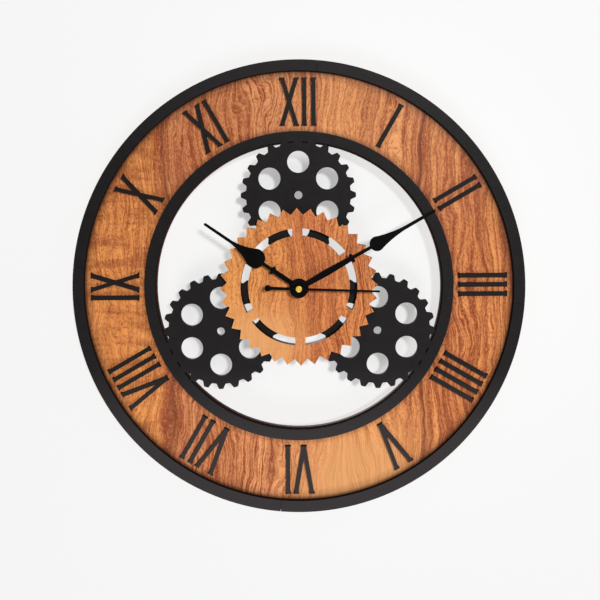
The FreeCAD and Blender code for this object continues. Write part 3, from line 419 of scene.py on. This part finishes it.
def lacquered_aluminium():
    """Thin aluminium, stamped and stove lacquered black: nearly pure black with a soft sheen."""
    material, tree, surface, place = new_finish("lacquered_aluminium", {"Specular IOR Level": 0.03})
    tone_and_tooth(tree, surface, place, ("#030303", "#070707"), (1.5, 1.5, 1.5), 0.02, (0.48, 0.60))
    return material


# ---------------------------------------------------------------- shapes

def new_piece(name, mesh, material, body, slot, *nodes):
    """Put a finished mesh in the scene on its body, in place of its solids."""
    piece = bpy.data.objects.new(name, mesh)
    bpy.context.scene.collection.objects.link(piece)
    mesh.materials.append(material)
    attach(piece, body)
    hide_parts(*nodes)
    return piece


def grid_mesh(name, points):
    """Mesh over a closed grid of points: rows and columns both come round to their start."""
    rows, columns = points.shape[:2]
    row, column = np.meshgrid(np.arange(rows), np.arange(columns), indexing="ij")
    next_row, next_column = (row + 1) % rows, (column + 1) % columns
    corners = [row * columns + column, row * columns + next_column,
               next_row * columns + next_column, next_row * columns + column]
    faces = np.stack([corner.ravel() for corner in corners], axis=1)
    mesh = bpy.data.meshes.new(name)
    mesh.from_pydata(points.reshape(-1, 3).tolist(), [], faces.tolist())
    return mend_mesh(mesh)


def mend_mesh(mesh):
    """Merge doubles, turn the faces outwards and smooth all but the sharp edges."""
    work = bmesh.new()
    work.from_mesh(mesh)
    bmesh.ops.remove_doubles(work, verts=work.verts, dist=1e-7)
    bmesh.ops.dissolve_degenerate(work, edges=work.edges, dist=1e-7)
    bmesh.ops.recalc_face_normals(work, faces=work.faces)
    work.to_mesh(mesh)
    work.free()
    mesh.polygons.foreach_set("use_smooth", [True] * len(mesh.polygons))
    mesh.set_sharp_from_angle(angle=math.radians(32))
    mesh.update()
    return mesh


def spun(name, profile, columns, axis="depth", centre=(0.0, 0.0), radius_of=None):
    """Closed profile of (radius, distance) rows in mm, carried round an axis.

    The point at row i and angle t is (r cos t, r sin t) about the axis and d along it, where r is
    the profile's radius, or radius_of(r, d, t) where that is given.
    """
    profile = np.asarray(profile, float)
    turn = np.linspace(0.0, 2 * np.pi, columns, endpoint=False)
    radius = np.repeat(profile[:, :1], columns, axis=1)
    distance = np.repeat(profile[:, 1:], columns, axis=1)
    if radius_of is not None:
        radius = radius_of(radius, distance, turn[None, :])
    first, second = radius * np.cos(turn), radius * np.sin(turn)
    if axis == "depth":
        points = np.stack([first + centre[0], -distance, second + centre[1]], axis=-1)
    else:
        points = np.stack([distance, first - centre[0], second + centre[1]], axis=-1)
    return grid_mesh(name, points * MM)


def rounded_rows(rows, radius, steps=4):
    """Profile with each corner cut to an arc of the radius: a quadratic curve through the corner."""
    rows = np.asarray(rows, float)
    before, after = np.roll(rows, 1, axis=0) - rows, np.roll(rows, -1, axis=0) - rows
    length_before = np.linalg.norm(before, axis=1, keepdims=True)
    length_after = np.linalg.norm(after, axis=1, keepdims=True)
    reach = np.minimum(radius, 0.45 * np.minimum(length_before, length_after))
    start, end = rows + before / length_before * reach, rows + after / length_after * reach
    t = np.linspace(0.0, 1.0, steps + 1)[None, :, None]
    curve = (1 - t) ** 2 * start[:, None] + 2 * t * (1 - t) * rows[:, None] + t ** 2 * end[:, None]
    return curve.reshape(-1, 2)


def circle(radius, count, centre=(0.0, 0.0)):
    """Points of a circle, the radius times cosine and sine of evenly spaced angles, anticlockwise."""
    turn = np.linspace(0.0, 2 * np.pi, count, endpoint=False)
    return np.stack([centre[0] + radius * np.cos(turn), centre[1] + radius * np.sin(turn)], axis=1)


def black_gear_outline(direction):
    """Outline of one black gear, its corners rounded to about 1 mm.

    A tooth is a trapezium with its corners at the tip and root radii. The outline is resampled
    every 0.35 mm and averaged over 1.4 mm of its length, which rounds each corner.
    """
    pitch = 2 * np.pi / GEAR_TEETH
    tip = GEAR_TIP_WIDTH / 2 / GEAR_TIP
    root = pitch / 2 - GEAR_GAP_WIDTH / 2 / GEAR_ROOT
    angles = (pitch * np.arange(GEAR_TEETH)[:, None] + np.array([-root, -tip, tip, root])).ravel()
    radii = np.tile([GEAR_ROOT, GEAR_TIP, GEAR_TIP, GEAR_ROOT], GEAR_TEETH)
    corners = np.stack([radii * np.cos(angles), radii * np.sin(angles)], axis=1)
    closed = np.vstack([corners, corners[:1]])
    length = np.concatenate([[0.0], np.cumsum(np.linalg.norm(np.diff(closed, axis=0), axis=1))])
    count = int(length[-1] / 0.35)
    at = np.linspace(0.0, length[-1], count, endpoint=False)
    points = np.stack([np.interp(at, length, closed[:, axis]) for axis in (0, 1)], axis=1)
    points = sum(np.roll(points, step, axis=0) for step in range(-2, 3)) / 5
    turn = math.radians(direction)
    return points + GEAR_DISTANCE * np.array([math.cos(turn), math.sin(turn)])


def ring_arc(start, end, step=0.012):
    """Points of the ring's bore from one angle on to another, both left out."""
    count = max(2, int(abs(end - start) / step))
    turn = np.linspace(start, end, count + 1)[1:-1]
    return RING_INNER * np.stack([np.cos(turn), np.sin(turn)], axis=1)


def inside_runs(outline):
    """Stretches of a closed outline that lie inside the ring's bore, each with its crossing points."""
    radius = np.linalg.norm(outline, axis=1)
    start = int(np.argmax(radius))
    outline, radius = np.roll(outline, -start, axis=0), np.roll(radius, -start)
    inside = radius < RING_INNER
    edges = np.flatnonzero(np.diff(inside.astype(int)))
    runs = []
    for first, last in zip(edges[::2], edges[1::2]):
        ends = []
        for near, far in ((first, first + 1), (last, last + 1)):
            share = (RING_INNER - radius[near]) / (radius[far] - radius[near])
            ends.append(outline[near] + share * (outline[far] - outline[near]))
        runs.append(np.vstack([ends[0], outline[first + 1:last + 1], ends[1]]))
    return runs


def fretwork_loops():
    """Outer edge of the black sheet, then each hole: the open window, the slits and the round holes.

    The outer edge runs anticlockwise and the holes clockwise, so the sheet is always on the left.
    """
    window, slits, rounds = [], [], []
    spokes = [90.0 + 360.0 * index / 3 for index in range(3)]
    for direction in spokes:
        runs = inside_runs(black_gear_outline(direction))
        longest = max(range(len(runs)), key=lambda index: len(runs[index]))
        for index, run in enumerate(runs):
            first, last = np.arctan2(run[0, 1], run[0, 0]), np.arctan2(run[-1, 1], run[-1, 0])
            if index == longest:
                window.append((run, first, last))
            elif len(run) > 6:
                slits.append(np.vstack([run, ring_arc(last, first, 0.003)]))
        centre = GEAR_DISTANCE * np.array([math.cos(math.radians(direction)), math.sin(math.radians(direction))])
        rounds.append(circle(GEAR_EYE, 32, centre))
        for turn in np.radians(90.0 + 360.0 * np.arange(GEAR_HOLES) / GEAR_HOLES):
            hole = centre + GEAR_HOLE_CIRCLE * np.array([math.cos(turn), math.sin(turn)])
            rounds.append(circle(GEAR_HOLE, 56, hole))
    parts = []
    for (run, first, last), (_, next_first, _) in zip(window, window[-1:] + window[:-1]):
        parts.append((run, last, next_first))
    loop = []
    for run, last, target in parts[::-1]:
        gap = (target - last) % (2 * np.pi)
        if gap > np.pi:
            gap -= 2 * np.pi
        loop += [run, ring_arc(last, last + gap)]
    return [circle(RING_OUTER, 320)] + [np.vstack(loop)] + slits + rounds


def signed_area(loop):
    """Half the sum of the cross products of neighbouring points: above 0 where it runs anticlockwise."""
    following = np.roll(loop, -1, axis=0)
    return 0.5 * np.sum(loop[:, 0] * following[:, 1] - following[:, 0] * loop[:, 1])


def cut_sheet(name, loops, back, front, bevel):
    """Flat sheet between two depths with eased edges, cut to an outer loop and holes in mm.

    Each wall is the profile (in by the bevel, out, out, in by the bevel) carried along its loop,
    and each face fills the loops drawn in by the bevel.
    """
    profile = ((bevel, back), (0.0, back + bevel), (0.0, front - bevel), (bevel, front))
    points, faces, rims, start = [], [], ([], []), 0
    for index, loop in enumerate(loops):
        if (signed_area(loop) > 0) != (index == 0):
            loop = loop[::-1]
        ahead = np.roll(loop, -1, axis=0) - np.roll(loop, 1, axis=0)
        inward = np.stack([-ahead[:, 1], ahead[:, 0]], axis=1) / np.linalg.norm(ahead, axis=1, keepdims=True)
        count = len(loop)
        here, there = start + np.arange(count), start + (np.arange(count) + 1) % count
        for row, (draw, depth) in enumerate(profile):
            moved = loop + inward * draw
            points.append(np.stack([moved[:, 0], np.full(count, -depth), moved[:, 1]], axis=1))
            if row:
                low, high = (row - 1) * count, row * count
                faces.append(np.stack([here + low, there + low, there + high, here + high], axis=1))
        rims[0].append(here)
        rims[1].append(here + 3 * count)
        start += 4 * count
    points = np.concatenate(points)
    fills = []
    for rim in rims:
        filled = tessellate_polygon([points[ring][:, [0, 2, 1]].tolist() for ring in rim])
        fills.append(np.concatenate(rim)[np.array(filled)])
    mesh = bpy.data.meshes.new(name)
    mesh.from_pydata((points * MM).tolist(), [], np.concatenate(faces).tolist() + np.concatenate(fills).tolist())
    return mend_mesh(mesh)


def threaded_bushing_mesh():
    """Brass tube with a 0.75 mm thread outside, its groove a triangle wave of depth and turn."""
    back, front, outer, bore, pitch, depth = 15.0, 28.8, 4.0, 2.6, 0.75, 0.32

    def thread(radius, distance, turn):
        phase = (distance / pitch - turn / (2 * np.pi)) % 1.0
        groove = depth * np.abs(2 * phase - 1)
        fade = np.clip(np.minimum(distance - back, front - distance) / 0.4, 0.0, 1.0)
        return np.where(radius > outer - 0.01, radius - groove * fade, radius)

    along = np.linspace(back, front, 180)
    rows = [(bore, front), (bore, back)] + [(outer, d) for d in along]
    return spun("bushing_thread", rows, 48, radius_of=thread)


def hex_nut_mesh():
    """Thin hexagon nut: the smaller of a hexagon and a 30 degree cone at both faces."""
    back, front, flats, bore = 26.0, 28.2, 5.5, 4.05

    def hexagon(radius, distance, turn):
        sixth = (turn % (np.pi / 3)) - np.pi / 6
        across = flats / np.cos(sixth)
        cone = flats - 0.05 + 1.7 * np.minimum(distance - back, front - distance)
        return np.where(radius > bore + 0.5, np.minimum(across, cone), radius)

    rows = [(bore, front - 0.3), (bore, back + 0.3), (bore + 0.3, back)]
    rows += [(flats, back + step) for step in (0.0, 0.12, 0.25, 0.4, 0.6)]
    rows += [(flats, front - step) for step in (0.6, 0.4, 0.25, 0.12, 0.0)]
    rows += [(bore + 0.3, front)]
    return spun("nut_form", rows, 96, radius_of=hexagon)


def second_boss_mesh():
    """Brass boss with a domed head: its head rises 0.25 mm as the square of the radius falls."""
    neck_back, face, top, head, neck, bore = 34.75, 36.55, 37.25, 3.0, 1.5, 0.53
    radii = np.linspace(2.9, bore, 8)
    dome = [(r, top - 0.25 * (r / head) ** 2) for r in radii]
    rows = [(bore, neck_back), (neck, neck_back), (neck, face), (head - 0.08, face), (head, face + 0.08),
            (head, top - 0.40), (head - 0.03, top - 0.31)] + dome
    return spun("boss_form", rows, 48)


def battery_mesh():
    """Round cell lying along X with rounded shoulders, a stepped nub and a dished flat end."""
    low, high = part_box("battery")
    left, right = low.x / MM, high.x / MM
    nub_end, shoulder = left, left + 1.2
    rows = [(0.0, nub_end), (2.6, nub_end), (2.75, nub_end + 0.2), (2.75, shoulder + 0.1), (3.4, shoulder + 0.25),
            (5.8, shoulder + 0.25), (6.0, shoulder), (6.7, shoulder), (7.1, shoulder + 0.5),
            (7.1, right - 0.5), (6.7, right), (6.2, right), (5.9, right - 0.3), (0.0, right - 0.3)]
    profile = rounded_rows(rows, 0.25)
    profile[:, 0] = np.maximum(profile[:, 0], 0.0)
    centre = ((low.y + high.y) / 2 / MM, (low.z + high.z) / 2 / MM)
    return spun("cell_form", profile, 56, "across", (-centre[0], centre[1]))


def coil_winding_mesh():
    """Coil of fine wire: its radius ripples by a cosine of the distance, 0.5 mm from turn to turn.

    The real wire is 0.1 mm thick, and is drawn five times coarser so that the turns show.
    """
    low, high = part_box("coil_winding")
    left, right = low.x / MM, high.x / MM
    along = np.linspace(left + 0.15, right - 0.15, 300)
    outer = 3.72 + 0.07 * np.cos(2 * np.pi * (along - left) / 0.5)
    rows = [(2.2, left), (3.55, left)] + list(zip(outer, along)) + [(3.55, right), (2.2, right)]
    centre = ((low.y + high.y) / 2 / MM, (low.z + high.z) / 2 / MM)
    return spun("winding_form", rows, 32, "across", (-centre[0], centre[1]))


# ---------------------------------------------------------------- wall and studio

def add_wall():
    """Plain pale wall behind the clock, seen from its front only.

    For the camera it glows partly by itself, so that the clock's shadow stays soft and light. It glows
    more behind the middle gear, where the slots show it white, under the edge of the black ring, and
    far from the clock, where its end must not be told from the surroundings.
    """
    mesh = bpy.data.meshes.new("wall")
    side = 8.0
    mesh.from_pydata([(-side, 0.0, -side), (side, 0.0, -side), (side, 0.0, side), (-side, 0.0, side)],
                     [], [(0, 1, 2, 3)])
    wall = bpy.data.objects.new("wall", mesh)
    bpy.context.scene.collection.objects.link(wall)
    wall.visible_shadow = False
    material = bpy.data.materials.new("wall_paint")
    material.use_nodes = True
    tree = material.node_tree
    tree.nodes.clear()
    paint = add(tree, "ShaderNodeBsdfDiffuse", {"Color": linear("#F2F2F2")})
    glow = add(tree, "ShaderNodeEmission", {"Color": linear("#F6F6F6"), "Strength": 1.0})
    place = add(tree, "ShaderNodeTexCoord").outputs["Object"]
    away = add(tree, "ShaderNodeVectorMath", {"operation": "LENGTH", 0: place}).outputs["Value"]
    share = add(tree, "ShaderNodeValToRGB", {"stops": [(0.066, 0.75), (0.085, 0.42), (0.120, 0.42), (0.132, 0.76),
                                                       (0.150, 0.76), (0.20, 0.45), (0.34, 0.75), (0.9, 1.0)],
                                             "Fac": away}).outputs[0]
    seen = add(tree, "ShaderNodeMath", {"operation": "MULTIPLY", 0: looked_at(tree), 1: share}).outputs[0]
    front = add(tree, "ShaderNodeMixShader", {0: seen, 1: paint.outputs[0], 2: glow.outputs[0]}).outputs[0]
    clear = add(tree, "ShaderNodeBsdfTransparent").outputs[0]
    behind = add(tree, "ShaderNodeNewGeometry").outputs["Backfacing"]
    whole = add(tree, "ShaderNodeMixShader", {0: behind, 1: front, 2: clear}).outputs[0]
    add(tree, "ShaderNodeOutputMaterial", {"Surface": whole})
    mesh.materials.append(material)


def add_studio():
    """Even pale surroundings, a softbox high at the right front, a weak one below and one behind."""
    bpy.context.scene.view_settings.view_transform = "Standard"
    world = bpy.data.worlds.new("studio")
    bpy.context.scene.world = world
    world.use_nodes = True
    tree = world.node_tree
    tree.nodes.clear()
    ambient = add(tree, "ShaderNodeBackground", {"Color": linear("#FFFFFF"), "Strength": 0.30}).outputs[0]
    shown = add(tree, "ShaderNodeBackground", {"Color": linear("#F6F6F6"), "Strength": 1.0}).outputs[0]
    mixed = add(tree, "ShaderNodeMixShader", {0: looked_at(tree), 1: ambient, 2: shown}).outputs[0]
    add(tree, "ShaderNodeOutputWorld", {"Surface": mixed})
    add_lamp("softbox_right", (0.80, -2.2, 0.72), 0.34, 45.0)
    add_lamp("softbox_low", (-0.2, -1.5, -1.5), 1.0, 9.0)
    add_lamp("softbox_rear", (-0.6, 2.4, 0.8), 1.2, 48.0)


# ---------------------------------------------------------------- the clock

def board_veneer():
    """Ring veneer: gold at the left, red brown from ten to eleven, tan above, streaked at the right."""
    tones = [(0.02, "#D88C4E"), (0.10, "#D68848"), (0.185, "#DE9252"), (0.196, "#A25A34"), (0.213, "#B66E46"),
             (0.245, "#C27A52"), (0.30, "#BE744A"), (0.36, "#CA8252"), (0.42, "#DA9260"), (0.50, "#D28A58"),
             (0.56, "#E2995F"), (0.66, "#DE945A"), (0.75, "#D08550"), (0.84, "#C07445"), (0.90, "#C87C46"),
             (0.96, "#D88C50"), (1.0, "#C87A42")]
    veins = [(0.204, 0.0), (0.208, 0.8), (0.211, 0.8), (0.216, 0.0), (0.756, 0.0), (0.760, 1.0), (0.764, 1.0),
             (0.769, 0.0)]
    streaks = [(0.0, 0.34), (0.18, 0.36), (0.20, 0.85), (0.36, 1.0), (0.44, 0.60), (0.56, 0.40), (0.70, 0.55),
               (0.78, 1.0), (1.0, 1.0)]
    mottle = [(0.0, 0.90), (0.17, 0.85), (0.20, 0.20), (0.50, 0.0), (1.0, 0.05)]
    # Darkening near the cuts: scorch, and painted shade next to the black ring (154 to 160 mm) and the outer rim (204
    # to 214 mm)
    scorch_and_shade = [(0.0, 1.0), (0.60, 1.0), (0.6148, 0.75), (0.618, 0.40), (0.640, 0.0), (0.815, 0.0), (0.842, 0.34),
             (0.8565, 0.92)]
    return printed_veneer("board_veneer", tones, streaks, mottle, veins, scorch_and_shade, (0.0, 0.0, 0.0),
                          (65.0, -195.0, 120.0, 95.0))


def gear_veneer():
    """Veneer of the middle gear: pale gold at the left, redder and streaked at the right."""
    tones = [(0.32, "#DA9450"), (0.42, "#DC904E"), (0.47, "#D08248"), (0.53, "#C67442"), (0.60, "#D0824A"),
             (0.66, "#C87A44")]
    streaks = [(0.34, 0.20), (0.44, 0.45), (0.56, 0.62), (0.68, 0.70)]
    mottle = [(0.0, 0.10), (1.0, 0.05)]
    scorch_and_shade = [(0.0, 0.0), (1.0, 0.0)]
    veins = [(0.0, 0.0), (1.0, 0.0)]
    return printed_veneer("gear_veneer", tones, streaks, mottle, veins, scorch_and_shade, (0.31, 0.0, 0.17),
                          (-42.0, -56.0, 85.0, 70.0))


def dress_clock():
    """Give each solid the finish of its slot, and put finer forms in place of some."""
    fibreboard, brass = lacquered_fibreboard(), turned_brass()
    copper, jacket = enamelled_wire(), cell_jacket()
    finishes = {
        "oak_veneer": board_veneer(), "black_mdf": fibreboard, "black_abs": spark_textured_abs(),
        "white_acetal": moulded_acetal(), "magnet_steel": stamped_steel(), "copper_wire": copper,
        "circuit_laminate": circuit_laminate(), "tin_can": tinned_can(), "contact_steel": nickel_spring_steel(),
        "cell_jacket": jacket, "brass": brass, "rubber": moulded_rubber(),
        "black_aluminium": lacquered_aluminium(),
    }
    for part in frame["record"]["subparts"]:
        node = frame["nodes"][part["node"]]
        for holder in node.material_slots:
            holder.material = finishes[part["material_slot"]]
        if not node.material_slots:
            node.data.materials.append(finishes[part["material_slot"]])
    for holder in frame["nodes"]["centre_gear"].material_slots:
        holder.material = gear_veneer()

    fretwork = cut_sheet("fretwork_form", fretwork_loops(), SHEET_BACK, SHEET_FRONT, 0.15)
    new_piece("black_gear_sheet", fretwork, fibreboard, "clock", "black_mdf", "gear_fretwork")
    new_piece("bushing_with_thread", threaded_bushing_mesh(), brass, "clock", "brass", "threaded_bushing")
    new_piece("hexagon_nut", hex_nut_mesh(), brass, "clock", "brass", "hex_nut")
    new_piece("domed_boss", second_boss_mesh(), brass, "second_shaft", "brass", "second_boss")
    new_piece("round_cell", battery_mesh(), jacket, "clock", "cell_jacket", "battery")
    new_piece("wound_coil", coil_winding_mesh(), copper, "clock", "copper_wire", "coil_winding")


add_camera()
add_studio()
add_wall()
dress_clock()
